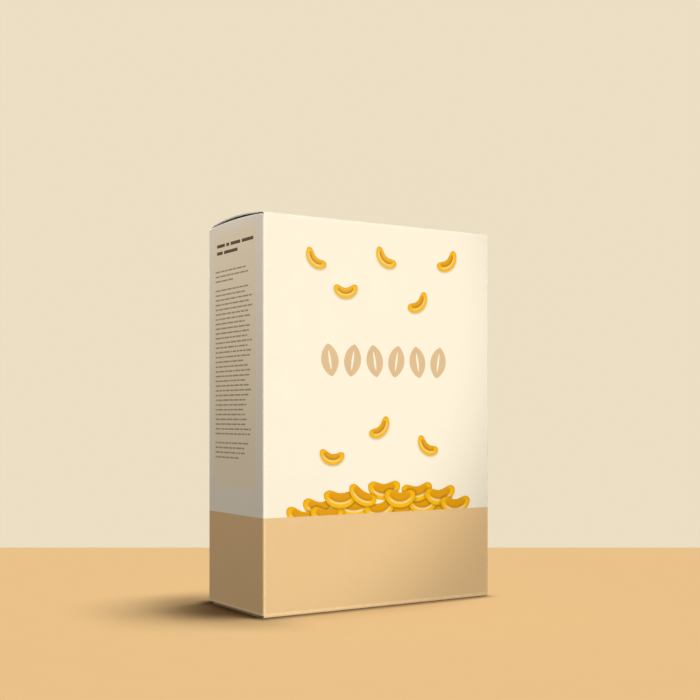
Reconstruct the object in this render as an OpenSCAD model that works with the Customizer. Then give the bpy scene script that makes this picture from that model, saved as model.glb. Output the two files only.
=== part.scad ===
// Shut folding carton for breakfast cereal, standing on its bottom flaps.
// The wide front panel faces -Y, the narrow panels face -X and +X, and up is +Z.
// The origin is the centre of the base. All sizes are in millimetres.
//
// One blank of board is folded and glued into a closed pack, so it is one solid.
// Both ends close the same way: a dust flap from each narrow panel, then the
// inner wide flap from the back panel, then the outer wide flap from the front.

/* [Pack] */
// Width across the front panel
pack_w = 190; // [140:1:240]
// Depth across a narrow panel
pack_d = 83; // [45:1:110]
// Height from the floor to the top folds
pack_h = 270; // [150:1:340]

/* [Board] */
// Thickness of the board
board_t = 0.45; // [0.3:0.05:0.6]
// Outside radius of every scored fold
fold_r = 1; // [0.9:0.1:2]

/* [Top] */
// How far the wide top flaps bow above their folds at mid-depth
flap_bow = 2.85; // [2.2:0.05:5]
// How far each dust flap bows above its folds at mid-depth
dust_bow = 1.5; // [0.5:0.05:1.8]
// How far the slit under the bowed flaps reaches in from each narrow panel
slit_reach = 25; // [5:1:60]
// Distance from the slit's ends to the front and back panels
slit_inset = 3.5; // [3:0.5:10]

/* [Flaps] */
// How far the raw ends of a wide flap stop short of the narrow panels
flap_inset = 0.4; // [0.2:0.05:0.4]
// Strip of inner flap left showing beside the outer flap's free edge
flap_reveal = 6; // [4:0.5:15]

/* [Glue seam] */
// How far the back panel's raw edge stops short of the glued corner
seam_inset = 1.6; // [1.2:0.1:4]

/* [Hidden] */
$fn = 96;
arc_fn = 720;

half_w = pack_w / 2;
half_d = pack_d / 2;
// Two wide flaps lie on each other at both ends
stack_t = 2 * board_t;
// Half the depth between the tangent lines of the front and back folds
span = half_d - fold_r;
// Everything that the top folds and flaps shape lies above this height
top_low = pack_h - 2 * stack_t - fold_r;

// Radius of an arc from its half chord and its rise
function arc_r(half_chord, rise) = (half_chord * half_chord + rise * rise) / (2 * rise);

// The wide flaps bow on one axis, which runs along X
roof_r = arc_r(span, flap_bow);
roof_z = pack_h + flap_bow - roof_r;
// The dust flaps bow less, on an axis of their own
dust_r = arc_r(span, dust_bow);
dust_z = pack_h - stack_t + dust_bow - dust_r;

// Height at which a fold's axis makes it tangent to an arc of this radius
function fold_z(r) = roof_z + sqrt(pow(r - fold_r, 2) - span * span);

// Distance from mid-depth at which that fold meets the arc
function meet_y(r) = span * r / (r - fold_r);

// Rectangle from its low corner to its high corner
module field(low, high) {
    translate(low)
        square(high - low);
}

// Disc of the given radius on the flaps' bow axis, in the Y-Z plane
module roof_disc(r) {
    translate([0, roof_z])
        circle(r, $fn = arc_fn);
}

// Turns a Y-Z profile into a bar that runs along X and is centred on the pack
module along_x(half_length) {
    rotate([90, 0, 90])
        linear_extrude(2 * half_length, center = true)
            children();
}

// Outline of the folded blank seen from above, with the back panel lapped
// over the glue tab at the back right corner
module plan() {
    // Front and narrow panels, with the glue tab at the back
    round_field([-half_w, -half_d], [half_w, half_d - board_t]);
    // Back panel, down to its raw edge
    intersection() {
        round_field([-half_w, -half_d], [half_w + 2 * fold_r, half_d]);
        field([-half_w, -half_d], [half_w - seam_inset, half_d]);
    }
}

// Rectangle whose four corners are rounded to the fold radius
module round_field(low, high) {
    field(low + [fold_r, 0], high - [fold_r, 0]);
    field(low + [0, fold_r], high - [0, fold_r]);
    for (x = [low[0] + fold_r, high[0] - fold_r])
        for (y = [low[1] + fold_r, high[1] - fold_r])
            translate([x, y])
                circle(fold_r);
}

// Pack between the folds of its narrow panels, as wide as it gets. Its top
// follows the dust flaps, and their folds are rounded along the same arc.
module walls() {
    rotate([90, 0, 0])
        linear_extrude(pack_d, center = true)
            side_folds();
    intersection() {
        translate([0, 0, dust_z])
            rotate([0, 90, 0])
                rotate_extrude($fn = arc_fn)
                    rim();
        translate([-half_w, -half_d, top_low])
            cube([pack_w, pack_d, 3 * stack_t + fold_r]);
    }
}

// Half section of the dust flaps' disc, with its rim rounded like a fold
module rim() {
    field([0, -half_w], [dust_r - fold_r, half_w]);
    field([0, fold_r - half_w], [dust_r, half_w - fold_r]);
    for (x = [fold_r - half_w, half_w - fold_r])
        translate([dust_r - fold_r, x])
            circle(fold_r);
}

// The narrow panels from their bottom folds up, in the X-Z plane
module side_folds() {
    field([fold_r - half_w, stack_t], [half_w - fold_r, top_low]);
    field([-half_w, stack_t + fold_r], [half_w, top_low]);
    for (x = [fold_r - half_w, half_w - fold_r])
        translate([x, stack_t + fold_r])
            circle(fold_r);
}

// Everything under the top face at the front fold, in the Y-Z plane. With
// layer 0 it is the outer flap's face, and with layer 1 the inner flap's.
module top_face(layer) {
    r = roof_r - layer * board_t;
    z = fold_z(r);
    intersection() {
        roof_disc(r);
        field([-meet_y(r), top_low], [meet_y(r), pack_h + flap_bow]);
    }
    field([-half_d, top_low], [half_d, z]);
    for (y = [-span, span])
        translate([y, z])
            circle(fold_r);
}

// Section of the closed top: the outer flap from the front, stopping short
// of the back, and the inner flap from the back under it
module top_section() {
    intersection() {
        top_face(0);
        field([-half_d, top_low], [half_d - flap_reveal, pack_h + flap_bow]);
    }
    top_face(1);
}

// What lies under a number of boards of the closed top, between the panels
module under_boards(count) {
    intersection() {
        roof_disc(roof_r - count * board_t);
        field([board_t - half_d, 0], [half_d - board_t, pack_h + flap_bow]);
    }
}

// Lens-shaped gap between the dust flap and the bowed wide flaps
module slit_section() {
    difference() {
        intersection() {
            roof_disc(roof_r - stack_t);
            field([slit_inset - half_d, top_low], [half_d - slit_inset, pack_h + flap_bow]);
        }
        translate([0, dust_z])
            circle(dust_r, $fn = arc_fn);
    }
}

module top_flaps() {
    // Raw end of the outer flap
    along_x(half_w - flap_inset)
        difference() {
            top_section();
            under_boards(1);
        }
    // Raw end of the inner flap, cut a little shorter
    along_x(half_w - 2 * flap_inset)
        difference() {
            top_section();
            under_boards(2);
        }
    // Filled pack under the flaps, with a slit at both ends
    difference() {
        along_x(half_w - fold_r)
            top_section();
        for (side = [-1, 1])
            translate([side * (half_w - slit_reach / 2), 0, 0])
                along_x(slit_reach / 2)
                    slit_section();
    }
}

// Section of the closed bottom, in the Y-Z plane: the outer flap from the
// front lies on the floor, and the inner flap from the back lies on it
module bottom_section(layer) {
    low = layer * board_t;
    field([-span, low], [span, 3 * fold_r]);
    field([-half_d, low + fold_r], [half_d, 3 * fold_r]);
    for (y = [-span, span])
        translate([y, low + fold_r])
            circle(fold_r);
}

module bottom_flaps() {
    // Outer flap, from the front fold to its free edge
    along_x(half_w - flap_inset)
        intersection() {
            bottom_section(0);
            field([-half_d, 0], [half_d - flap_reveal, board_t]);
        }
    // Panels' bottom folds and the inner flap
    along_x(half_w - flap_inset)
        difference() {
            union() {
                intersection() {
                    bottom_section(0);
                    field([-half_d, 0], [0, 3 * fold_r]);
                }
                bottom_section(1);
            }
            field([board_t - half_d, board_t], [half_d - board_t, 3 * fold_r]);
        }
    along_x(half_w - 2 * flap_inset)
        intersection() {
            bottom_section(1);
            field([-half_d, board_t], [half_d, 3 * fold_r]);
        }
}

module carton() {
    color([0.96, 0.9, 0.79])
        intersection() {
            linear_extrude(pack_h + 2 * flap_bow)
                plan();
            union() {
                walls();
                top_flaps();
                bottom_flaps();
            }
        }
}

carton();
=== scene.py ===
"""A shut carton of breakfast cereal on a plain table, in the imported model's frame (metres, +Z up).

The carton is one folded blank of coated board. Its print is fields of colour, which are faces of the
blank, and thin layers of ink on top: curled cereal shapes, grains, and bars in the place of text.
"""
import math
import random

import bmesh
import bpy
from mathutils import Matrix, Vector

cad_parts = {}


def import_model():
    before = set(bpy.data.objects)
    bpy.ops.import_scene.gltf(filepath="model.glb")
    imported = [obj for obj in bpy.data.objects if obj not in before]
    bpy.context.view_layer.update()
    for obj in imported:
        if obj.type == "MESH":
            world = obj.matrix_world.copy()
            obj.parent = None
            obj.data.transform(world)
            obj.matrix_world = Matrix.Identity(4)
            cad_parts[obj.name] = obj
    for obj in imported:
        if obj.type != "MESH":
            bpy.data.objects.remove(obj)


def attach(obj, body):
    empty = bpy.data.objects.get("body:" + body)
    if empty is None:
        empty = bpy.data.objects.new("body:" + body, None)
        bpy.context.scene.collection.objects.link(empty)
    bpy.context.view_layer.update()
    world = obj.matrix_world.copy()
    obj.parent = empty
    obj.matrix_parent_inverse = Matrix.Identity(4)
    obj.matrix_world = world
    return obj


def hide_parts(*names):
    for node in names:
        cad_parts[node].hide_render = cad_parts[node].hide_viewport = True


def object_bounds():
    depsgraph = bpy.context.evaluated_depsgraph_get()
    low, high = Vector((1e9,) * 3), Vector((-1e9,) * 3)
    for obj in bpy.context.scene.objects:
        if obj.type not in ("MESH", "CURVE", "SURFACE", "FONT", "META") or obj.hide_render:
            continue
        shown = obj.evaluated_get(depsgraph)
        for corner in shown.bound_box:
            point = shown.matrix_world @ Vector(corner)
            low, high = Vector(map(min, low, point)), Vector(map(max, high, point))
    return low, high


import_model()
cad_low, cad_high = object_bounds()

MM = 0.001

# ---------------------------------------------------------------- sizes of the pack

HALF_W = cad_high.x
HALF_D = cad_high.y
BASE_Z = cad_low.z
FLAP_BOW = 2.85 * MM
DUST_BOW = 1.5 * MM
FOLD_Z = cad_high.z - FLAP_BOW

BOARD = 0.45 * MM
FOLD_R = 1.0 * MM
STACK = 2 * BOARD
FLAP_INSET = 0.4 * MM
FLAP_REVEAL = 6 * MM
SEAM_INSET = 1.6 * MM
GLUE_TAB = 15 * MM
DUST_REACH = 60 * MM
INNER_FLAP_STOP = 9 * MM
# Boards that lie on each other keep this far apart
SHEET_GAP = 0.02 * MM
# Points nearer than this are one
SAME_PLACE = 0.001 * MM

FRONT_BULGE = 0.3 * MM
SIDE_BULGE = 0.2 * MM

FOLD_STEPS = 6
# Lengths of the faces along the panels, the bowed wide flaps, the dust flaps and the bottom flaps
PANEL_STEP = 9 * MM
BOW_STEP = 3 * MM
DUST_STEP = 10 * MM
BOTTOM_STEP = 12 * MM
# Flat strip beside every fold, which keeps the shading of the panels flat
FOLD_EDGE = 0.35 * MM
# How far the paler print reaches from a fold: cracked, worn print, and at the left and lower edges also
# a painted highlight
WEAR_AND_HIGHLIGHT_REACH = 1.4 * MM
FOLD_WEAR = 0.25
# The left and lower edges of the wide panels are paler than the ones opposite: partly rubbed wear,
# partly a painted highlight along those folds
EDGE_WEAR_AND_HIGHLIGHT = 0.9
SLIGHT_WEAR = 0.3

# Distance from mid-depth to where the front and back folds begin
SPAN = HALF_D - FOLD_R
# The upright panels stand between these heights above the base, with the flaps' folds past them
SLEEVE_LOW = STACK + FOLD_R
SLEEVE_HIGH = FOLD_Z - STACK - FOLD_R - BASE_Z
# Height over which the narrow panels' tops rise to the bowed dust flaps
RISE_H = 25 * MM

# ---------------------------------------------------------------- the printed layout

BAND_H = 66.3 * MM
FIELD_LOW = 85.5 * MM
FIELD_HIGH = 262 * MM
FIELD_BACK = 9.2 * MM
FIELD_FRONT = 10.6 * MM

# Height of one layer of ink over the board, and how deep its underside lies in the board
INK = 0.02 * MM
SUNK = 0.03 * MM


def srgb(red, green, blue):
    """A colour given as 0 to 255 on a screen, as linear light."""
    def linear(c):
        c = c / 255
        return c / 12.92 if c <= 0.04045 else ((c + 0.055) / 1.055) ** 2.4
    return (linear(red), linear(green), linear(blue))


CREAM = (0.875, 0.79, 0.622)
TAN = (0.75, 0.494, 0.229)
PANEL = (0.89, 0.762, 0.535)
# Paler print along the folds: worn, cracked print, and at the left and lower edges also a painted
# highlight
WORN_CREAM_AND_HIGHLIGHT = (0.93, 0.88, 0.76)
WORN_TAN_AND_HIGHLIGHT = (0.9, 0.64, 0.34)
CUT_BOARD = (0.97, 0.93, 0.83)
# Cut edges that the pack stands on are darker and browner than the others: a painted shade at the foot
SHADED_LOW_CUT = (0.55, 0.4, 0.22)
BOARD_BACK = (0.34, 0.3, 0.25)
GRAIN_TAN = (0.655, 0.445, 0.228)
HEADING_INK = (0.14, 0.09, 0.045)
TEXT_INK = (0.43, 0.32, 0.19)

CURL_EDGE = (0.74, 0.35, 0.002)
CURL_DEEP = (0.545, 0.22, 0.001)
CURL_SHINE = (0.9, 0.69, 0.28)
SHADOW_TINT = (0.66, 0.49, 0.25)


# ---------------------------------------------------------------- materials

class Nodes:
    """Small helper round one material's node tree."""

    def __init__(self, name):
        self.material = bpy.data.materials.new(name)
        self.material.use_nodes = True
        self.tree = self.material.node_tree
        self.shader = self.tree.nodes["Principled BSDF"]
        self.place = self.add("ShaderNodeTexCoord").outputs["Object"]

    def add(self, kind, **values):
        node = self.tree.nodes.new(kind)
        for key, value in values.items():
            setattr(node, key, value)
        return node

    def join(self, output, socket):
        self.tree.links.new(output, socket)

    def noise(self, scale, detail, stretch=(1, 1, 1)):
        mapping = self.add("ShaderNodeMapping")
        mapping.inputs["Scale"].default_value = stretch
        self.join(self.place, mapping.inputs["Vector"])
        node = self.add("ShaderNodeTexNoise")
        node.inputs["Scale"].default_value = scale
        node.inputs["Detail"].default_value = detail
        self.join(mapping.outputs["Vector"], node.inputs["Vector"])
        return node.outputs["Fac"]

    def remap(self, value, to_low, to_high, from_low=0.0, from_high=1.0, kind="LINEAR"):
        node = self.add("ShaderNodeMapRange", interpolation_type=kind)
        node.inputs["From Min"].default_value = from_low
        node.inputs["From Max"].default_value = from_high
        node.inputs["To Min"].default_value = to_low
        node.inputs["To Max"].default_value = to_high
        self.join(value, node.inputs["Value"])
        return node.outputs["Result"]

    def times(self, a, b):
        node = self.add("ShaderNodeMath", operation="MULTIPLY")
        self.join(a, node.inputs[0])
        if isinstance(b, (int, float)):
            node.inputs[1].default_value = b
        else:
            self.join(b, node.inputs[1])
        return node.outputs["Value"]

    def size(self, value):
        """The value without its sign."""
        node = self.add("ShaderNodeMath", operation="ABSOLUTE")
        self.join(value, node.inputs[0])
        return node.outputs["Value"]

    def mix(self, factor, a, b, blend="MIX"):
        node = self.add("ShaderNodeMix", data_type="RGBA", blend_type=blend)
        sockets = {s.identifier: s for s in node.inputs}
        for key, value in (("Factor_Float", factor), ("A_Color", a), ("B_Color", b)):
            if isinstance(value, tuple):
                sockets[key].default_value = (*value, 1)
            elif isinstance(value, (int, float)):
                sockets[key].default_value = value
            else:
                self.join(value, sockets[key])
        return {s.identifier: s for s in node.outputs}["Result_Color"]

    def attribute(self, name, colour=False):
        node = self.add("ShaderNodeAttribute", attribute_name=name)
        return node.outputs["Color" if colour else "Fac"]

    def bump(self, height, strength, distance):
        node = self.add("ShaderNodeBump")
        node.inputs["Strength"].default_value = strength
        node.inputs["Distance"].default_value = distance
        self.join(height, node.inputs["Height"])
        self.join(node.outputs["Normal"], self.shader.inputs["Normal"])


def coated_finish(nodes, roughness_low=0.4, roughness_high=0.52, shine=0.3):
    """The satin coating over the print: fine fibres show through it, and its gloss is uneven."""
    fibres = nodes.noise(1400, 4, (1, 1, 0.45))
    cloud = nodes.noise(60, 2)
    nodes.join(nodes.remap(cloud, roughness_low, roughness_high, 0.3, 0.7),
               nodes.shader.inputs["Roughness"])
    nodes.shader.inputs["Specular IOR Level"].default_value = shine
    nodes.bump(fibres, 0.12, 0.04 * MM)


def mottle(nodes, colour):
    """Breaks a printed colour up very slightly, as ink on board does."""
    grains = nodes.remap(nodes.noise(900, 5), 0.985, 1.015, 0.25, 0.75)
    return nodes.mix(1.0, colour, grains, "MULTIPLY")


def board_print(name, colour, worn_and_highlight):
    """Printed, coated board, paler where the print has cracked along its folds, and with a painted
    highlight along its left and lower edges.
    """
    nodes = Nodes(name)
    fold = nodes.attribute("fold")
    cracks = nodes.remap(nodes.noise(420, 6), 0.5, 1.0, 0.38, 0.62)
    # Wear along the folds, and at the left and lower edges a painted highlight as well
    wear_and_highlight = nodes.times(fold, cracks)
    nodes.join(mottle(nodes, nodes.mix(wear_and_highlight, colour, worn_and_highlight)), nodes.shader.inputs["Base Color"])
    coated_finish(nodes)
    return nodes.material


def bare_board(name, colour):
    """Uncoated board, uneven and fibrous."""
    nodes = Nodes(name)
    fibres = nodes.noise(700, 6, (1, 1, 0.3))
    dark = tuple(c * 0.85 for c in colour)
    pale = tuple(min(1, c * 1.15) for c in colour)
    nodes.join(nodes.mix(nodes.remap(fibres, 0, 1, 0.3, 0.7), dark, pale),
               nodes.shader.inputs["Base Color"])
    nodes.join(nodes.remap(fibres, 0.8, 0.95), nodes.shader.inputs["Roughness"])
    nodes.shader.inputs["Specular IOR Level"].default_value = 0.1
    nodes.bump(fibres, 0.3, 0.08 * MM)
    return nodes.material


def plain_ink(name, colour):
    nodes = Nodes(name)
    nodes.join(mottle(nodes, colour), nodes.shader.inputs["Base Color"])
    coated_finish(nodes)
    return nodes.material


def shaded_ink(name):
    """Ink whose colour is worked out point by point and kept on the mesh."""
    nodes = Nodes(name)
    specks = nodes.remap(nodes.noise(1100, 4), 0.93, 1.06, 0.3, 0.7)
    speckled = nodes.mix(1.0, nodes.attribute("ink", colour=True), specks, "MULTIPLY")
    nodes.join(speckled, nodes.shader.inputs["Base Color"])
    coated_finish(nodes, roughness_low=0.36, roughness_high=0.48, shine=0.05)
    return nodes.material


# ---------------------------------------------------------------- small geometry tools

def steps(low, high, size):
    """Evenly spaced values from low to high, both included, about size apart."""
    count = max(1, round(abs(high - low) / size))
    return [low + (high - low) * i / count for i in range(count + 1)]


def panel_stops(low, high, *lines):
    """Where a panel is divided between its two folds, with a stop at each printed line."""
    inner = [low + FOLD_EDGE, low + WEAR_AND_HIGHLIGHT_REACH, *sorted(lines), high - WEAR_AND_HIGHLIGHT_REACH, high - FOLD_EDGE]
    stops = [low]
    for a, b in zip([low, *inner], [*inner, high]):
        stops += steps(a, b, PANEL_STEP)[1:]
    return stops


def smooth(x):
    """Eases from 0 to 1, and stays there past both ends."""
    x = min(1.0, max(0.0, x))
    return x * x * (3 - 2 * x)


def blend(a, b, t):
    return tuple(x + (y - x) * t for x, y in zip(a, b))


def arc_radius(half_chord, rise):
    """Radius of an arc from half its chord and its rise."""
    return (half_chord ** 2 + rise ** 2) / (2 * rise)


# Radius and axis height of the bowed wide flaps, and of the dust flaps under them
ROOF_R = arc_radius(SPAN, FLAP_BOW)
ROOF_Z = FOLD_Z + FLAP_BOW - ROOF_R
DUST_R = arc_radius(SPAN, DUST_BOW)
DUST_Z = FOLD_Z - STACK + DUST_BOW - DUST_R


def dust_rise(y):
    """How far the dust flaps' surface stands above their folds' ends at this depth."""
    y = min(abs(y), SPAN)
    return DUST_Z + math.sqrt(DUST_R ** 2 - y ** 2) - (FOLD_Z - STACK)


# Faces that meet at more than this stay sharp
SHARP_ANGLE = math.radians(40)


def thicken(bm, depth, side_slot=0, under_slot=0):
    """Closes an open sheet into a board of this depth, away from its normals."""
    bm.normal_update()
    sheet = list(bm.faces)
    edges = [(loop.vert, loop.link_loop_next.vert) for f in sheet for loop in f.loops
             if len(loop.edge.link_faces) == 1]
    under = {v: bm.verts.new(v.co - v.normal * depth) for v in list(bm.verts)}
    for layer in bm.verts.layers.float_color.values() + bm.verts.layers.float.values():
        for v, copy in under.items():
            copy[layer] = v[layer]
    for face in sheet:
        back = bm.faces.new([under[v] for v in reversed(face.verts)])
        back.material_index = under_slot
    for a, b in edges:
        side = bm.faces.new([b, a, under[a], under[b]])
        side.material_index = side_slot


def new_object(name, bm, materials):
    """Puts a bmesh into the scene as an object."""
    mesh = bpy.data.meshes.new(name)
    bm.to_mesh(mesh)
    bm.free()
    for material in materials:
        mesh.materials.append(material)
    obj = bpy.data.objects.new(name, mesh)
    bpy.context.scene.collection.objects.link(obj)
    return obj


def make_piece(name, bm, materials):
    """Turns a bmesh into a piece that rides on the pack."""
    bm.normal_update()
    for face in bm.faces:
        face.smooth = True
    for edge in bm.edges:
        edge.smooth = len(edge.link_faces) == 2 and edge.calc_face_angle(0) < SHARP_ANGLE
    piece = new_object(name, bm, materials)
    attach(piece, "root")
    return piece


# ---------------------------------------------------------------- the four panels

class Panel:
    """One upright panel: u runs to the right as it is looked at, w runs up, and lift comes out."""

    def __init__(self, name, low_end, along, normal, width, bulge):
        self.name, self.width, self.bulge = name, width, bulge
        self.low_end, self.along, self.normal = Vector(low_end), Vector(along), Vector(normal)

    def swell(self, u, w):
        """How far the contents push the panel out."""
        across = (u - FOLD_R) / (self.width - 2 * FOLD_R)
        up = w / (FOLD_Z - BASE_Z)
        if not (0 < across < 1 and 0 < up < 1):
            return 0.0
        return self.bulge * math.sin(math.pi * across) * math.sin(math.pi * up)

    def point(self, u, w, lift=0.0):
        out = self.swell(u, w) + lift
        return self.low_end + self.along * u + self.normal * out + Vector((0, 0, BASE_Z + w))


FRONT = Panel("front", (-HALF_W, -HALF_D, 0), (1, 0, 0), (0, -1, 0), 2 * HALF_W, FRONT_BULGE)
BACK = Panel("back", (HALF_W, HALF_D, 0), (-1, 0, 0), (0, 1, 0), 2 * HALF_W, FRONT_BULGE)
LEFT = Panel("left", (-HALF_W, HALF_D, 0), (0, -1, 0), (-1, 0, 0), 2 * HALF_D, SIDE_BULGE)
RIGHT = Panel("right", (HALF_W, -HALF_D, 0), (0, 1, 0), (1, 0, 0), 2 * HALF_D, SIDE_BULGE)


def field_lines(panel):
    """Where the text field of a narrow panel begins and ends across it."""
    if panel is LEFT:
        return FIELD_BACK, panel.width - FIELD_FRONT
    return FIELD_FRONT, panel.width - FIELD_BACK


# ---------------------------------------------------------------- the folded blank

# The board's materials, in the order in which the blank takes them
CREAM_SLOT, TAN_SLOT, PANEL_SLOT, CUT_SLOT, SHADED_LOW_CUT_SLOT, BACK_SLOT = range(6)


class Blank:
    """The carton's blank as a sheet of faces, before it gets its thickness."""

    def __init__(self):
        self.bm = bmesh.new()
        self.fold = self.bm.verts.layers.float.new("fold")

    def sheet(self, rows, slot_of=None):
        """Faces between rows of (point, fold) pairs, from the bottom row up and from left to right."""
        grid = [[self.vertex(point, fold) for point, fold in row] for row in rows]
        for low, high in zip(grid, grid[1:]):
            for i in range(len(low) - 1):
                face = self.bm.faces.new([low[i], low[i + 1], high[i + 1], high[i]])
                if slot_of:
                    face.material_index = slot_of(face.calc_center_median())

    def vertex(self, point, fold):
        vert = self.bm.verts.new(point)
        vert[self.fold] = fold
        return vert

    def finish(self, materials):
        bmesh.ops.remove_doubles(self.bm, verts=self.bm.verts, dist=SAME_PLACE)
        thicken(self.bm, BOARD - SHEET_GAP, CUT_SLOT, BACK_SLOT)
        for face in self.bm.faces:
            # Cut edges at the foot take the darker colour, a painted shade
            if face.material_index == CUT_SLOT and face.calc_center_median().z < BASE_Z + SLEEVE_LOW:
                face.material_index = SHADED_LOW_CUT_SLOT
        return make_piece("carton_board", self.bm, materials)


def print_slot(centre):
    """The field of print that a face of the upright panels or folds belongs to."""
    if centre.z < BASE_Z + BAND_H:
        return TAN_SLOT
    # Only faces of the narrow panels lie between the margins of the text field in depth
    in_depth = FIELD_FRONT - HALF_D < centre.y < HALF_D - FIELD_BACK
    if in_depth and FIELD_LOW < centre.z - BASE_Z < FIELD_HIGH:
        return PANEL_SLOT
    return CREAM_SLOT


def fold_sweep(panel_normal, next_normal, end=90.0):
    """Unit vectors that turn from one panel's normal towards the next one's, by degrees."""
    a, b = Vector(panel_normal), Vector(next_normal)
    angles = [math.radians(end * i / FOLD_STEPS) for i in range(FOLD_STEPS + 1)]
    return [a * math.cos(t) + b * math.sin(t) for t in angles]


def edge_wear_and_highlight(at, low, high):
    """Paleness of the print beside the folds at both ends of a stretch: wear at both ends, and at the
    low end a painted highlight as well.
    """
    near_low = at - low < high - at
    near = at - low if near_low else high - at
    wear_and_highlight = EDGE_WEAR_AND_HIGHLIGHT if near_low else SLIGHT_WEAR
    return wear_and_highlight * (1 - smooth((near - FOLD_EDGE) / (WEAR_AND_HIGHLIGHT_REACH - FOLD_EDGE)))


def sleeve_stations():
    """The blank's plan, from the back panel's raw edge round to the end of the glue tab.

    Each station is (x, y, wear, panel, u), with panel None on the folds and the tab.
    """
    stations = []
    tab_y = HALF_D - BOARD

    def add_panel(panel, low, high, *lines):
        for u in panel_stops(low, high, *lines):
            spot = panel.low_end + panel.along * u
            # The wide panels' left edges are paler than their right ones: wear, and a painted highlight
            wear_and_highlight = edge_wear_and_highlight(u, low, high) if panel in (FRONT, BACK) else 0.0
            stations.append((spot.x, spot.y, wear_and_highlight, panel, u))

    def add_fold(cx, cy, a, b):
        for n in fold_sweep(a, b)[1:-1]:
            stations.append((cx + n.x * FOLD_R, cy + n.y * FOLD_R, FOLD_WEAR, None, 0.0))

    in_x, in_y = HALF_W - FOLD_R, HALF_D - FOLD_R
    narrow, wide = 2 * HALF_D, 2 * HALF_W
    add_panel(BACK, SEAM_INSET, wide - FOLD_R)
    add_fold(-in_x, in_y, (0, 1, 0), (-1, 0, 0))
    add_panel(LEFT, FOLD_R, narrow - FOLD_R, *field_lines(LEFT))
    add_fold(-in_x, -in_y, (-1, 0, 0), (0, -1, 0))
    add_panel(FRONT, FOLD_R, wide - FOLD_R)
    add_fold(in_x, -in_y, (0, -1, 0), (1, 0, 0))
    add_panel(RIGHT, FOLD_R, narrow - FOLD_R - BOARD, *field_lines(RIGHT))
    add_fold(in_x, tab_y - FOLD_R, (1, 0, 0), (0, 1, 0))
    for x in steps(in_x, HALF_W - GLUE_TAB, PANEL_STEP):
        stations.append((x, tab_y - SHEET_GAP, 0.0, None, 0.0))
    return stations


def add_sleeve(blank):
    rows = []
    for w in panel_stops(SLEEVE_LOW, SLEEVE_HIGH, BAND_H, FIELD_LOW, FIELD_HIGH):
        row = []
        for x, y, wear_and_highlight, panel, u in sleeve_stations():
            point = panel.point(u, w) if panel else Vector((x, y, BASE_Z + w))
            if panel in (LEFT, RIGHT):
                point.z += dust_rise(point.y) * smooth((w - SLEEVE_HIGH) / RISE_H + 1)
            # The panels' lower edges are paler: wear, and a painted highlight
            row.append((point, max(wear_and_highlight, edge_wear_and_highlight(w, SLEEVE_LOW, SLEEVE_HIGH))))
        rows.append(row)
    blank.sheet(rows, print_slot)


def end_x(x, inset):
    """Moves the outermost column of a flap out to where the flap is cut."""
    edge = HALF_W - FOLD_R
    return math.copysign(HALF_W - inset, x) if abs(abs(x) - edge) < SAME_PLACE else x


def top_flap(blank, panel, radius, inset, stop):
    """Fold and flap above a wide panel. The flap's face lies on the bow at this radius."""
    sign = panel.normal.y
    fold_z = ROOF_Z + math.sqrt((radius - FOLD_R) ** 2 - SPAN ** 2)
    lean = math.degrees(math.asin(SPAN / (radius - FOLD_R)))
    start = BASE_Z + SLEEVE_HIGH
    sweep = fold_sweep(panel.normal, (0, 0, 1), 90 - lean)
    path = [(sign * HALF_D, start, SLIGHT_WEAR), (sign * HALF_D, start + FOLD_EDGE, SLIGHT_WEAR)]
    path += [(sign * SPAN + n.y * FOLD_R, fold_z + n.z * FOLD_R, FOLD_WEAR) for n in sweep]
    meet = SPAN * radius / (radius - FOLD_R)
    flats = steps(meet - FOLD_EDGE, stop, BOW_STEP)
    path += [(sign * y, ROOF_Z + math.sqrt(radius ** 2 - y ** 2), 0.0) for y in flats]
    add_path(blank, panel, path, inset, start, above=True)


def bottom_flap(blank, panel, level, inset, stop):
    """Fold and flap below a wide panel. The flap's face lies at this level."""
    sign = panel.normal.y
    start = BASE_Z + SLEEVE_LOW
    fold_z = BASE_Z + level + FOLD_R
    sweep = fold_sweep(panel.normal, (0, 0, -1))
    # The wide panel's lower edge is paler: wear, and a painted highlight
    path = [(sign * HALF_D, start, EDGE_WEAR_AND_HIGHLIGHT)]
    path += [(sign * SPAN + n.y * FOLD_R, fold_z + n.z * FOLD_R, FOLD_WEAR) for n in sweep]
    flats = steps(SPAN - FOLD_EDGE, stop, BOTTOM_STEP)
    path += [(sign * y, BASE_Z + level, 0.0) for y in flats]
    add_path(blank, panel, path, inset, start, above=False)


def add_path(blank, panel, path, inset, start, above):
    """Sweeps a Y-Z path along the columns of a wide panel, whose face it leaves at the start height."""
    low = SEAM_INSET if panel is BACK else FOLD_R
    columns = panel_stops(low, panel.width - FOLD_R)
    rows = []
    for y, z, fold in path:
        row = []
        for u in columns:
            x = (panel.low_end + panel.along * u).x
            if z == start:
                point = Vector((x, y + math.copysign(panel.swell(u, z - BASE_Z), y), z))
            elif panel is BACK and u == low:
                point = Vector((HALF_W - max(SEAM_INSET, inset), y, z))
            else:
                point = Vector((end_x(x, inset), y, z))
            row.append((point, fold))
        rows.append(row)
    blank.sheet(rows if above else rows[::-1],
                None if above else lambda centre: TAN_SLOT)


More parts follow.
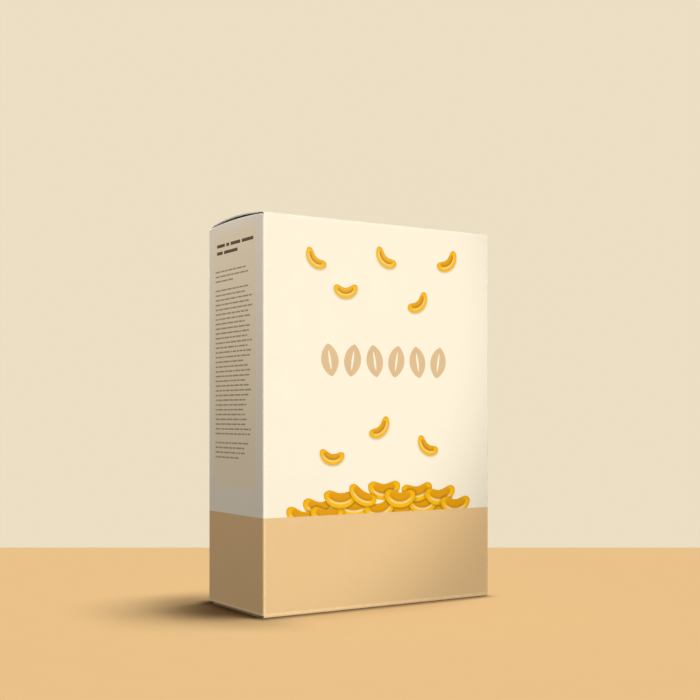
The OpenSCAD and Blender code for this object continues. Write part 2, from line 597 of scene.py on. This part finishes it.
def dust_flaps(blank, panel):
    """Folds and dust flaps at both ends of a narrow panel."""
    sign = panel.normal.x
    high = panel.width - FOLD_R - (BOARD if panel is RIGHT else 0)
    stops = panel_stops(FOLD_R, high, *field_lines(panel))
    depths = [(panel.low_end + panel.along * u).y for u in stops]
    in_x = HALF_W - FOLD_R
    for up in (1, -1):
        rows = []
        for n in fold_sweep(panel.normal, (0, 0, up)):
            x, rise = sign * in_x + n.x * FOLD_R, n.z * FOLD_R
            rows.append([dust_point(x, y, up, rise, FOLD_WEAR) for y in depths])
        for x in steps(in_x - FOLD_EDGE, in_x - DUST_REACH, DUST_STEP):
            rows.append([dust_point(sign * x, y, up, up * FOLD_R, 0.0) for y in depths])
        if up < 0:
            rows.reverse()
        blank.sheet(rows, None if up > 0 else lambda centre: TAN_SLOT)


def dust_point(x, y, up, rise, fold):
    """Point on a top or bottom dust flap or its fold, which rises from the panel's end."""
    if up > 0:
        return Vector((x, y, BASE_Z + SLEEVE_HIGH + dust_rise(y) + rise)), fold
    return Vector((x, y, BASE_Z + SLEEVE_LOW + rise)), fold


def carton_board(materials):
    blank = Blank()
    add_sleeve(blank)
    top_flap(blank, FRONT, ROOF_R, FLAP_INSET, FLAP_REVEAL - HALF_D)
    top_flap(blank, BACK, ROOF_R - BOARD, 2 * FLAP_INSET, INNER_FLAP_STOP - HALF_D)
    bottom_flap(blank, FRONT, 0, FLAP_INSET, FLAP_REVEAL - HALF_D)
    bottom_flap(blank, BACK, BOARD, 2 * FLAP_INSET, INNER_FLAP_STOP - HALF_D)
    for panel in (LEFT, RIGHT):
        dust_flaps(blank, panel)
    return blank.finish(materials)


# ---------------------------------------------------------------- layers of ink

class Ink:
    """Flat shapes drawn on one panel in (u, w), then lifted onto it and closed."""

    def __init__(self, panel):
        self.panel = panel
        self.bm = bmesh.new()
        self.colour = self.bm.verts.layers.float_color.new("ink")

    def shape(self, points, faces, lift, colour_at=None, cut_below=None):
        """Adds one closed shape. Its colour may come from a function of (u, w)."""
        part = bmesh.new()
        ink = part.verts.layers.float_color.new("ink")
        verts = [part.verts.new((u, w, 0)) for u, w in points]
        for face in faces:
            part.faces.new([verts[i] for i in face])
        if cut_below is not None:
            bmesh.ops.bisect_plane(
                part, geom=part.verts[:] + part.edges[:] + part.faces[:],
                plane_co=(0, cut_below, 0), plane_no=(0, -1, 0), clear_outer=True)
        for v in part.verts:
            u, w = v.co.x, v.co.y
            if colour_at:
                v[ink] = (*colour_at(u, w), 1)
            v.co = self.panel.point(u, w, lift)
        thicken(part, lift + SUNK)
        copy = bpy.data.meshes.new("part")
        part.to_mesh(copy)
        part.free()
        self.bm.from_mesh(copy)
        bpy.data.meshes.remove(copy)

    def bar(self, low_u, high_u, middle_w, height):
        low_w, high_w = middle_w - height / 2, middle_w + height / 2
        corners = [(low_u, low_w), (high_u, low_w), (high_u, high_w), (low_u, high_w)]
        self.shape(corners, [(0, 1, 2, 3)], INK)

    def finish(self, name, material, slot):
        return make_piece(name, self.bm, [material])


def ring_faces(rings, sides):
    """Faces of a disc whose first point is its centre, with rings of points round it."""
    faces = [(0, 1 + i, 1 + (i + 1) % sides) for i in range(sides)]
    for r in range(rings - 1):
        inner, outer = 1 + r * sides, 1 + (r + 1) * sides
        for i in range(sides):
            j = (i + 1) % sides
            faces.append((inner + i, outer + i, outer + j, inner + j))
    return faces


# ---------------------------------------------------------------- the curled cereal shapes

class Curl:
    """A piece of cereal like a bent bean, with a darker hollow along the inside of its bend."""

    # A bean that is bent less is also a little shorter along its bend
    SHORTEN = 0.25
    # Rings of points inside its edge, points in a ring, and rings outside the edge in its shadow
    RINGS, SIDES, OUTER = 11, 48, 4
    # How square the bean and its hollow are: 2 is an ellipse
    POWER = 2.6
    HOLLOW_POWER = 2.8
    # Less than 1 crowds the rings towards the edge
    RING_POWER = 0.85
    # Share of the way out at which the rim starts to darken
    RIM_START = 0.84
    # The hollow's side runs over this span, about its edge at 1
    HOLLOW_OUT, HOLLOW_SPAN = 1.15, 0.4
    # The shine on the lip: how far below the hollow, how broad, where it ends along the bean, strength
    LIP_BELOW, LIP_WIDTH = 0.07, 0.12
    LIP_END, LIP_FADE = 0.72, 0.3
    LIP_STRENGTH = 0.95
    # Small steps that measure slopes along the panel and directions along the edge
    PROBE = 0.05 * MM
    TURN = 0.01

    def __init__(self, kind, u, w, tilt, grow=1.0, plump=1.0, flatter=1.0):
        self.size = grow * kind["width"] * MM / 2
        self.bend = kind["bend"] * flatter
        self.length = kind["length"] / flatter ** self.SHORTEN
        self.thick = kind["thick"] * plump
        self.rim, self.inside = kind["rim"], kind["inside"]
        self.hollow, self.deep = kind["hollow"], kind["deep"]
        self.cos, self.sin = math.cos(math.radians(tilt)), math.sin(math.radians(tilt))
        self.u = self.w = 0.0
        # The given place is the middle of the printed piece's extent
        edge = [self.outline(1, angle) for angle in self.angles()]
        self.u = u * MM - (max(p[0] for p in edge) + min(p[0] for p in edge)) / 2
        self.w = w * MM - (max(p[1] for p in edge) + min(p[1] for p in edge)) / 2

    def angles(self):
        return [2 * math.pi * i / self.SIDES for i in range(self.SIDES)]

    def outline(self, reach, angle):
        """Point on the panel at this share of the way out from the middle."""
        c, s = math.cos(angle), math.sin(angle)
        along = reach * math.copysign(abs(c) ** (2 / self.POWER), c) * self.length / self.bend
        radius = self.bend - reach * math.copysign(abs(s) ** (2 / self.POWER), s) * self.thick
        x, y = radius * math.sin(along), self.bend - radius * math.cos(along)
        return (self.u + self.size * (x * self.cos - y * self.sin),
                self.w + self.size * (x * self.sin + y * self.cos))

    def straight(self, u, w):
        """The point's place along and across the bean, each from -1 to 1 at its edge."""
        du, dw = (u - self.u) / self.size, (w - self.w) / self.size
        x = du * self.cos + dw * self.sin
        y = self.bend - (dw * self.cos - du * self.sin)
        along = math.atan2(x, y) * self.bend / self.length
        return along, (self.bend - math.hypot(x, y)) / self.thick

    def reach(self, u, w):
        """Share of the way out at which a point lies, 1 at the edge."""
        x, y = self.straight(u, w)
        return (abs(x) ** self.POWER + abs(y) ** self.POWER) ** (1 / self.POWER)

    def away(self, u, w):
        """About how far a point lies outside the bean's edge, less than 0 inside it."""
        here = self.reach(u, w)
        rise_u = self.reach(u + self.PROBE, w) - here
        rise_w = self.reach(u, w + self.PROBE) - here
        return (here - 1) / max(math.hypot(rise_u, rise_w) / self.PROBE, 1.0)

    def colour(self, u, w):
        """Colour of the printed bean at a point."""
        x, y = self.straight(u, w)
        edge = smooth((self.reach(u, w) - self.RIM_START) / (1 - self.RIM_START))
        colour = blend(self.rim, CURL_EDGE, edge)
        # The hollow lies towards the inside of the bend, and is darkest low down
        half_x, middle, half_y = self.hollow
        hollow = (abs(x) / half_x) ** self.HOLLOW_POWER
        hollow += (abs(y - middle) / half_y) ** self.HOLLOW_POWER
        low, high = self.deep
        inside = blend(CURL_DEEP, self.inside, smooth((y - low) / (high - low)))
        colour = blend(colour, inside, smooth((self.HOLLOW_OUT - hollow) / self.HOLLOW_SPAN))
        # Light catches the lower lip of the hollow
        lip = math.exp(-((y - middle + half_y + self.LIP_BELOW) / self.LIP_WIDTH) ** 2)
        lip *= smooth((self.LIP_END - abs(x)) / self.LIP_FADE)
        return blend(colour, CURL_SHINE, self.LIP_STRENGTH * lip)

    def points(self, spread=0.0, down=0.0):
        """The middle, rings out to the edge, and rings beyond it if the shape is spread."""
        rings = [(i / self.RINGS) ** self.RING_POWER for i in range(1, self.RINGS + 1)]
        angles = self.angles()
        found = [self.outline(0, 0)]
        found += [self.outline(r, a) for r in rings for a in angles]
        if spread:
            found += [self.beyond(a, spread * k / self.OUTER)
                      for k in range(1, self.OUTER + 1) for a in angles]
        return [(u, w - down) for u, w in found]

    def beyond(self, angle, distance):
        """Point at this distance outside the edge."""
        u0, w0 = self.outline(1, angle - self.TURN)
        u1, w1 = self.outline(1, angle + self.TURN)
        u, w = self.outline(1, angle)
        step = math.hypot(u1 - u0, w1 - w0)
        return u + (w1 - w0) / step * distance, w - (u1 - u0) / step * distance


# Width in millimetres, then shares of half of it: the bend's radius, and the bean's half length and
# half thickness along the bend. The hollow is its half length, middle and half width in the bean, and
# it turns from its deep colour to its inside colour between the two places given across the bean.
FALLING_KIND = {"width": 19.5, "bend": 0.9, "length": 1.104, "thick": 0.38,
                "hollow": (0.76, 0.38, 0.6), "deep": (-0.1, 0.6),
                "rim": (0.86, 0.455, 0.006), "inside": (0.72, 0.335, 0.006)}
# Three of the upper falling curls are printed paler
PALE_KIND = {**FALLING_KIND, "rim": (0.85, 0.485, 0.025), "inside": (0.8, 0.41, 0.03)}
PILED_KIND = {"width": 26.6, "bend": 0.95, "length": 1.058, "thick": 0.41,
              "hollow": (0.8, 0.34, 0.6), "deep": (-0.3, 0.35),
              "rim": (0.87, 0.45, 0.002), "inside": (0.7, 0.31, 0.001)}
# Falling curls, each as its middle's place in millimetres on the panel, its tilt in degrees, and how
# much larger, plumper and less bent it is than its kind
PALE_FALLING = ((40.8, 241.8, -39, 0.95), (98.2, 246.1, -37), (64.4, 220.5, 3))
FALLING = (
    (151.3, 247.3, 37, 1.04), (125.1, 216.0, 38, 1.01),
    (92.1, 126.4, 39, 1.01), (134.4, 113.1, -33, 1.02), (53.4, 106.2, -9, 1.02),
)
# The heap on the band, from the back of the heap to its front
PILED = (
    (60.5, 65.2, 0), (84, 65.2, 0), (110.8, 66.2, 0), (143.3, 66.2, 4),
    (43.6, 71.6, -4), (30.6, 65.9, -11), (71.6, 70.3, 0, 1.05, 1.1, 1.5), (92.5, 69.2, 10),
    (130.0, 70.5, 2), (49.6, 65.9, -2), (124.6, 79.7, 4, 1.01), (96.3, 81.6, 0, 1.02, 1.04),
    (59.9, 76.9, -4, 1, 0.98, 1.15), (145.1, 76.7, 6, 1.02), (109.9, 75.7, -3),
    (78.5, 79.1, -28, 0.96, 0.93, 1.3), (159.1, 68.9, 0, 1.01),
)
# A falling curl's shadow fades from inside the curl's edge to past it, and lies this much lower
SHADOW_INSIDE = 1.1 * MM
SHADOW_SPREAD = 1.1 * MM
SHADOW_DOWN = 1.1 * MM
# How far a piece in the heap darkens what lies behind it, how strongly, and what is left of its colour
HEAP_SHADE = 1.7 * MM
HEAP_STRENGTH = 0.9
HEAP_DARK = 0.5
# Heights of the printed layers, in the heap one over another
SHADOW_LIFT = 0.5 * INK
CURL_LIFT = 1.5 * INK
HEAP_STEP = 0.4 * INK


def print_curls(panel, material):
    """The falling curls, each with a soft shadow under it, and the heap, one over another."""
    ink = Ink(panel)
    falling = [Curl(PALE_KIND, *curl) for curl in PALE_FALLING]
    falling += [Curl(FALLING_KIND, *curl) for curl in FALLING]
    piled = [Curl(PILED_KIND, *curl) for curl in PILED]
    faces = ring_faces(Curl.RINGS, Curl.SIDES)
    spread_faces = ring_faces(Curl.RINGS + Curl.OUTER, Curl.SIDES)

    def shadow_of(curl):
        def colour(u, w):
            away = curl.away(u, w + SHADOW_DOWN)
            fade = smooth((away + SHADOW_INSIDE) / (SHADOW_SPREAD + SHADOW_INSIDE))
            return blend(SHADOW_TINT, CREAM, fade)
        return colour

    def heap_colour(order):
        def colour(u, w):
            own = piled[order].colour(u, w)
            shade = 0.0
            for other in piled[order + 1:]:
                shade = max(shade, 1 - smooth(other.away(u, w) / HEAP_SHADE))
            return blend(own, tuple(c * HEAP_DARK for c in own), HEAP_STRENGTH * shade)
        return colour

    for curl in falling:
        spread = curl.points(SHADOW_SPREAD, SHADOW_DOWN)
        ink.shape(spread, spread_faces, SHADOW_LIFT, shadow_of(curl))
        ink.shape(curl.points(), faces, CURL_LIFT, curl.colour)
    for i, curl in enumerate(piled):
        ink.shape(curl.points(), faces, CURL_LIFT + HEAP_STEP * i, heap_colour(i), BAND_H)
    return ink.finish(panel.name + "_curls", material, "yellow_print")


# ---------------------------------------------------------------- the row of grains

GRAIN_ROW_LOW = 161.3 * MM
GRAIN_ROW_HIGH = 184.2 * MM
GRAIN_ROW_LEFT = 43.7 * MM
GRAIN_ROW_RIGHT = 151.3 * MM
GRAINS = 6
GRAIN_HALF_W = 6.9 * MM
# Space kept at both ends of the row, where the end grains lean out
GRAIN_MARGIN = 1 * MM
GRAIN_LEAN = math.radians(9)
# The crease down a grain's middle, and its share of the grain's height
CREASE_HALF_W = 0.85 * MM
CREASE_SHARE = 0.62
# Points down each side of a grain, and how pointed it is
GRAIN_POINTS = 20
GRAIN_POWER = 0.8
CREASE_LIFT = 1.6 * INK


def grain_outline(centre_u, centre_w, half_w, half_h, lean):
    """A leaning oval with a point at both ends, anticlockwise."""
    outline = []
    for side in (1, -1):
        for i in range(GRAIN_POINTS):
            t = side * (2 * i / GRAIN_POINTS - 1)
            x, y = side * half_w * (1 - t * t) ** GRAIN_POWER, -half_h * t
            outline.append((centre_u + x * math.cos(lean) - y * math.sin(lean),
                            centre_w + x * math.sin(lean) + y * math.cos(lean)))
    return outline[::-1]


def print_grains(panel, tan, cream):
    """A row of plain grains across the panel, where a pack carries its name."""
    row, creases = Ink(panel), Ink(panel)
    middle = (GRAIN_ROW_LOW + GRAIN_ROW_HIGH) / 2
    half_h = (GRAIN_ROW_HIGH - GRAIN_ROW_LOW) / 2
    first = GRAIN_ROW_LEFT + GRAIN_MARGIN + GRAIN_HALF_W
    last = GRAIN_ROW_RIGHT - GRAIN_MARGIN - GRAIN_HALF_W
    fan = ring_faces(1, 2 * GRAIN_POINTS)
    for i in range(GRAINS):
        u = first + (last - first) * i / (GRAINS - 1)
        lean = GRAIN_LEAN * (-1) ** i
        grain = grain_outline(u, middle, GRAIN_HALF_W, half_h, lean)
        row.shape([(u, middle)] + grain, fan, INK)
        crease = grain_outline(u, middle, CREASE_HALF_W, half_h * CREASE_SHARE, lean)
        creases.shape([(u, middle)] + crease, fan, CREASE_LIFT)
    row.finish(panel.name + "_grains", tan, "tan_print")
    creases.finish(panel.name + "_grain_creases", cream, "cream_print")


# ---------------------------------------------------------------- bars in the place of text

TEXT_LEFT = 11.2 * MM
HEADING_LEFT = 13.4 * MM
TEXT_RIGHT = 68.5 * MM
HEADING_HEIGHT = 2.25 * MM
TEXT_HEIGHT = 1.08 * MM
LINE_PITCH = 3.37 * MM
# Height of each heading line's middle, and its words' widths in millimetres
HEADING_LINES = ((254.4 * MM, (12.5, 4.5, 15, 17)), (249.3 * MM, (9, 21)))
# Height of each paragraph's first line, and its number of lines
PARAGRAPHS = ((236.2 * MM, 3), (222.9 * MM, 31), (115.4 * MM, 4))
# The words in the paragraphs are drawn from these widths in millimetres, up to the line's end
WORD_WIDTHS = (2.2, 9.5)
WORD_GAP = 1.05 * MM
HEADING_GAP = 2.2 * MM
# No word begins nearer than this to its line's end
LEAST_WORD = 2 * MM
# How much the lines' ends vary, and how much more the last line of a small paragraph stops short
RAGGED = 13 * MM
SHORT_LAST_LINE = 18 * MM
LONG_PARAGRAPH = 10


def print_text(panel, heading_ink, text_ink, seed):
    """A heading and paragraphs as plain bars of word length. There is no lettering."""
    draw = random.Random(seed)
    heading, text = Ink(panel), Ink(panel)
    margin = 0 if panel is LEFT else FIELD_FRONT - FIELD_BACK
    for middle, words in HEADING_LINES:
        u = HEADING_LEFT + margin
        for width in words:
            heading.bar(u, u + width * MM, middle, HEADING_HEIGHT)
            u += width * MM + HEADING_GAP
    for top, count in PARAGRAPHS:
        for line in range(count):
            end = TEXT_RIGHT + margin - draw.uniform(0, RAGGED)
            if line == count - 1 and count < LONG_PARAGRAPH:
                end -= SHORT_LAST_LINE
            u = TEXT_LEFT + margin
            while u < end - LEAST_WORD:
                stop = min(end, u + draw.uniform(*WORD_WIDTHS) * MM)
                text.bar(u, stop, top - line * LINE_PITCH, TEXT_HEIGHT)
                u = stop + WORD_GAP
    heading.finish(panel.name + "_heading_bars", heading_ink, "brown_print")
    text.finish(panel.name + "_text_bars", text_ink, "brown_print")


# ---------------------------------------------------------------- the set: table, light and camera

# The eye is level and turned this far from square to the front. Its place is measured from the
# pack's near lower corner: up, back along the view, and to the right.
VIEW_TURN = math.radians(32.15)
EYE_HEIGHT = 134.25 * MM
EYE_DISTANCE = 786.2 * MM
EYE_SIDE = 57.55 * MM
LENS = 61.05
VIEW_SHIFT = 0.0943
# Distance from the eye to the table's back edge
TABLE_BACK = 1.2117

AHEAD = Vector((math.sin(VIEW_TURN), math.cos(VIEW_TURN), 0))
ACROSS = Vector((math.cos(VIEW_TURN), -math.sin(VIEW_TURN), 0))
NEAR_CORNER = Vector((-HALF_W, -HALF_D, BASE_Z))
EYE = NEAR_CORNER + ACROSS * EYE_SIDE - AHEAD * EYE_DISTANCE + Vector((0, 0, EYE_HEIGHT))

WALL_COLOUR = srgb(236, 223, 195)
TABLE_COLOUR = srgb(235, 195, 138)
PATCH_COLOUR = (0.05, 0.035, 0.02)
WHITE = (1, 1, 1)
# Even light from above, and from below as the table throws it back
ABOVE = (0.161, 0.167, 0.183)
BELOW = (0.425, 0.393, 0.35)
# The two blend over this much above and below the level
HORIZON_BLUR = 0.1


def camera():
    data = bpy.data.cameras.new("camera")
    data.lens = LENS
    data.sensor_width = 36
    data.shift_y = VIEW_SHIFT
    data.clip_start = 0.01
    obj = bpy.data.objects.new("camera", data)
    obj.location = EYE
    obj.rotation_euler = (math.pi / 2, 0, -VIEW_TURN)
    bpy.context.scene.collection.objects.link(obj)
    bpy.context.scene.camera = obj


# Shade that hugs the pack's foot: its depth at the foot, its reach, and where it fades towards the
# lit right end, down to the share that is left there
NEAR_SHADE = 0.64
NEAR_REACH = 12 * MM
LIT_END = (HALF_W - 5 * MM, HALF_W + 3 * MM)
LIT_SHARE = 0.15
# Wider shade on the left: its depth, the distances from the foot over which it fades, where it begins
# towards the left, and how it weakens away from mid-depth, down to the share that is left there
WIDE_SHADE = 0.42
WIDE_REACH = (16 * MM, 62 * MM)
WIDE_LEFT = (-HALF_W - 10 * MM, -HALF_W + 25 * MM)
WIDE_MIDDLE = (5 * MM, 30 * MM)
WIDE_SHARE = 0.45


def foot_distance(nodes, x, y):
    """How far a point of the table lies from the pack's foot."""
    squares = []
    for place, half in ((x, HALF_W), (y, HALF_D)):
        # Metres past the foot's side, and 0 inside it
        beyond = nodes.remap(nodes.size(place), 0.0, 1.0, half, half + 1.0)
        squares.append(nodes.times(beyond, beyond))
    total = nodes.add("ShaderNodeMath", operation="ADD")
    nodes.join(squares[0], total.inputs[0])
    nodes.join(squares[1], total.inputs[1])
    root = nodes.add("ShaderNodeMath", operation="SQRT")
    nodes.join(total.outputs["Value"], root.inputs[0])
    return root.outputs["Value"]


def contact_shade(nodes):
    """Share of its colour that the table keeps in the shade near the pack's foot."""
    parts = nodes.add("ShaderNodeSeparateXYZ")
    nodes.join(nodes.place, parts.inputs[0])
    x, y = parts.outputs["X"], parts.outputs["Y"]
    distance = foot_distance(nodes, x, y)
    near = nodes.remap(distance, NEAR_SHADE, 0.0, 0.0, NEAR_REACH, "SMOOTHSTEP")
    lit_end = nodes.remap(x, 1.0, LIT_SHARE, *LIT_END)
    wide = nodes.remap(distance, WIDE_SHADE, 0.0, *WIDE_REACH, "SMOOTHSTEP")
    left = nodes.remap(x, 1.0, 0.0, *WIDE_LEFT, "SMOOTHSTEP")
    middle = nodes.remap(nodes.size(y), 1.0, WIDE_SHARE, *WIDE_MIDDLE, "SMOOTHSTEP")
    kept_near = nodes.remap(nodes.times(near, lit_end), 1.0, 0.0)
    kept_wide = nodes.remap(nodes.times(nodes.times(wide, left), middle), 1.0, 0.0)
    return nodes.times(kept_near, kept_wide)


def table():
    """A plain table, whose back edge stands behind the pack."""
    bm = bmesh.new()
    side, near, thick = 6.0, 4.0, 0.03
    top = []
    for across, ahead in ((-side, -near), (side, -near), (side, TABLE_BACK), (-side, TABLE_BACK)):
        spot = Vector((EYE.x, EYE.y, BASE_Z)) + ACROSS * across + AHEAD * ahead
        top.append(bm.verts.new(spot))
    bm.faces.new(top)
    thicken(bm, thick)
    nodes = Nodes("table")
    grain = nodes.remap(nodes.noise(40, 3), 0.99, 1.01)
    shade = nodes.times(grain, contact_shade(nodes))
    nodes.join(nodes.mix(1.0, TABLE_COLOUR, shade, "MULTIPLY"), nodes.shader.inputs["Base Color"])
    nodes.shader.inputs["Roughness"].default_value = 0.9
    nodes.shader.inputs["Specular IOR Level"].default_value = 0.0
    obj = new_object("table", bm, [nodes.material])
    # The table doesn't tint the pack: the light from below stands for what it throws back
    obj.visible_diffuse = False
    obj.visible_glossy = False
    return obj


def shade_under_pack():
    """A dark patch, unseen by the eye, that keeps light from below off the pack's foot."""
    bm = bmesh.new()
    reach, below, thick = 0.3 * MM, 0.02 * MM, 1 * MM
    x, y = HALF_W + reach, HALF_D + reach
    corners = ((-x, -y), (x, -y), (x, y), (-x, y))
    bm.faces.new([bm.verts.new((cx, cy, BASE_Z - below)) for cx, cy in corners])
    thicken(bm, thick)
    obj = new_object("shade_under_pack", bm, [bare_board("shade_under_pack", PATCH_COLOUR)])
    # It casts no shadow from the lamps
    obj.visible_camera = False
    obj.visible_shadow = False


def world():
    """Even light from all round, and a plain wall behind for the eye."""
    scene_world = bpy.data.worlds.new("studio")
    bpy.context.scene.world = scene_world
    scene_world.use_nodes = True
    tree = scene_world.node_tree
    light = tree.nodes["Background"]
    place = tree.nodes.new("ShaderNodeTexCoord")
    split = tree.nodes.new("ShaderNodeSeparateXYZ")
    upward = tree.nodes.new("ShaderNodeMapRange")
    upward.inputs["From Min"].default_value = -HORIZON_BLUR
    upward.inputs["From Max"].default_value = HORIZON_BLUR
    shade = tree.nodes.new("ShaderNodeMix")
    shade.data_type = "RGBA"
    shade.inputs["A"].default_value = (*BELOW, 1)
    shade.inputs["B"].default_value = (*ABOVE, 1)
    tree.links.new(place.outputs["Generated"], split.inputs[0])
    tree.links.new(split.outputs["Z"], upward.inputs["Value"])
    tree.links.new(upward.outputs[0], shade.inputs[0])
    tree.links.new(shade.outputs["Result"], light.inputs["Color"])
    wall = tree.nodes.new("ShaderNodeBackground")
    wall.inputs["Color"].default_value = (*WALL_COLOUR, 1)
    ray = tree.nodes.new("ShaderNodeLightPath")
    pick = tree.nodes.new("ShaderNodeMixShader")
    tree.links.new(ray.outputs["Is Camera Ray"], pick.inputs[0])
    tree.links.new(light.outputs[0], pick.inputs[1])
    tree.links.new(wall.outputs[0], pick.inputs[2])
    tree.links.new(pick.outputs[0], tree.nodes["World Output"].inputs["Surface"])


def light(name, kind, place, aim, power, tint, receivers, **values):
    """A lamp that points at its aim and lights only its receivers."""
    data = bpy.data.lights.new(name, kind)
    data.energy = power
    data.color = tint
    for key, value in values.items():
        setattr(data, key, value)
    obj = bpy.data.objects.new(name, data)
    obj.location = place
    obj.rotation_euler = (Vector(aim) - Vector(place)).to_track_quat("-Z", "Y").to_euler()
    obj.visible_camera = False
    obj.visible_glossy = kind == "AREA"
    # Light thrown back by the pack would spot the even table
    data.cycles.max_bounces = 0
    bpy.context.scene.collection.objects.link(obj)
    obj.light_linking.receiver_collection = receivers


def light_group(name, obj, state):
    """Receivers of light: only this object, or all but this one."""
    group = bpy.data.collections.new(name)
    group.objects.link(obj)
    group.collection_objects[0].light_linking.link_state = state
    return group


def lights(table_obj):
    pack_only = light_group("all_but_table", table_obj, "EXCLUDE")
    table_only = light_group("table_only", table_obj, "INCLUDE")
    front_aim = FRONT.point(95 * MM, 140 * MM)
    # Broad soft light on the front, from the right of the eye
    light("key", "AREA", (0.6, -1.7, 0.3), front_aim, 16.3, (1, 0.99, 0.945), pack_only,
          shape="SQUARE", size=0.7)
    # Spot on the front's upper left, which leaves its lower right corner in soft shade
    spot_aim = FRONT.point(-60 * MM, 215 * MM)
    spot_away, spot_radius = 1.6, 0.313
    light("spot", "SPOT", spot_aim + Vector((0.06, -spot_away, 0.02)), spot_aim, 41, WHITE, pack_only,
          spot_size=2 * math.atan(spot_radius / spot_away), spot_blend=0.51, shadow_soft_size=0.02)
    # Near light on the upper part of the narrow panel in shade
    light("fill", "AREA", (-HALF_W - 0.27, 0.03, 0.37), (-HALF_W, 0, 0.2), 0.405,
          (1, 0.965, 0.99), pack_only, shape="SQUARE", size=0.12)
    # Soft light on the back and the far side
    light("back", "AREA", (0.5, 1.5, 0.8), (0, 0, 0.14), 26, (1, 0.98, 0.94), pack_only,
          shape="SQUARE", size=0.8)
    # Light straight down on the pack's top
    light("top_light", "SUN", (0, 0, 1), (0, 0, 0), 1.3, WHITE, pack_only, angle=math.radians(4))
    # Light on the table from high on the right, which draws the pack's soft shadow to the left
    light("table_light", "SUN", (0.207, -0.057, 1), (0, 0, 0), 2.66, (1, 0.992, 0.976), table_only,
          angle=math.radians(20.5))


# ---------------------------------------------------------------- putting it together

cream = board_print("cream_print", CREAM, WORN_CREAM_AND_HIGHLIGHT)
tan = board_print("tan_print", TAN, WORN_TAN_AND_HIGHLIGHT)
panel_print = board_print("panel_print", PANEL, WORN_CREAM_AND_HIGHLIGHT)
cut_edge = bare_board("cut_board", CUT_BOARD)
# Painted shade on the cut edges at the foot
shaded_low_cut_edge = bare_board("shaded_low_cut_board", SHADED_LOW_CUT)
board_back = bare_board("board_back", BOARD_BACK)
curl_ink = shaded_ink("curl_ink")
grain_ink = plain_ink("grain_ink", GRAIN_TAN)
cream_ink = plain_ink("cream_ink", CREAM)
heading_ink = plain_ink("heading_ink", HEADING_INK)
text_ink = plain_ink("text_ink", TEXT_INK)

board = carton_board([cream, tan, panel_print, cut_edge, shaded_low_cut_edge, board_back])
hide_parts("carton")

for wide_panel in (FRONT, BACK):
    print_curls(wide_panel, curl_ink)
    print_grains(wide_panel, grain_ink, cream_ink)
for seed, narrow_panel in enumerate((LEFT, RIGHT)):
    print_text(narrow_panel, heading_ink, text_ink, seed)

world()
lights(table())
shade_under_pack()
camera()
bpy.context.scene.view_settings.view_transform = "Standard"
